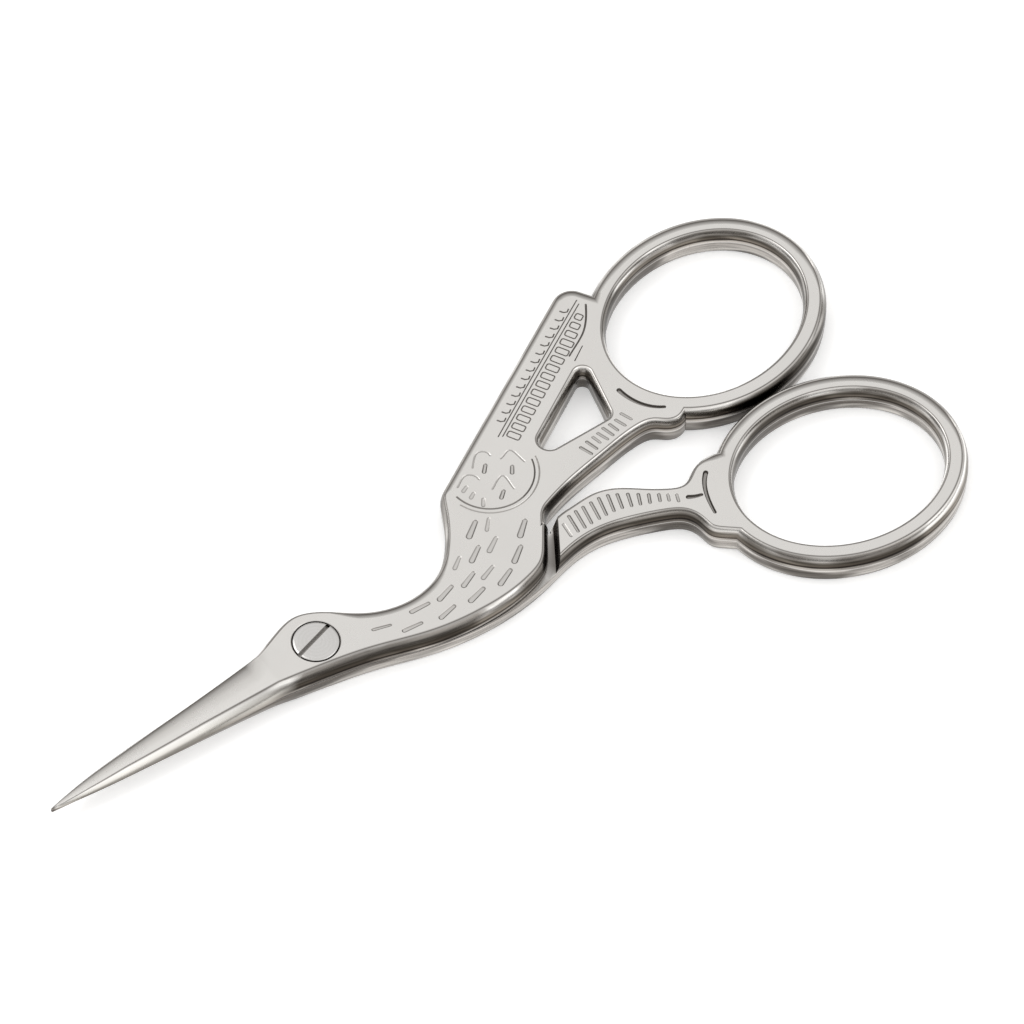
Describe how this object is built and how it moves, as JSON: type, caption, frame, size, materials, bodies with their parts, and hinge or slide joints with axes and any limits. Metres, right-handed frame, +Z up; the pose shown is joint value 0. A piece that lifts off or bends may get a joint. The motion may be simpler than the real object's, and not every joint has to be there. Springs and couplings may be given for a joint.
{
  "type": "stork embroidery scissors",
  "caption": "Small embroidery scissors shaped like a stork, with a long pointed beak as the blades and legs that end in oval finger rings, turning on a slotted pivot screw.",
  "frame": {"origin": "where the pivot's axis meets the plane that the scissors rest on, at the end of the screw's shank", "axes": "+X from the pivot along the closing line to the finger rings, +Y towards the stork's back and tail, +Z up out of the decorated face"},
  "size_m": [0.0897, 0.041, 0.003],
  "materials": {
    "plated_steel": "bright nickel plating over forged steel",
    "screw_steel": "bright nickel plating, slightly duller than the halves"
  },
  "bodies": {
    "stork_side": {"stork_half": "plated_steel"},
    "leg_side": {"leg_half": "plated_steel", "pivot_screw": "screw_steel"}
  },
  "joints": [
    {"name": "handles_open", "type": "hinge", "parent": "stork_side", "child": "leg_side", "pos_m": [0, 0, 0], "axis": [0, 0, -1], "range_deg": [0, 90]}
  ]
}
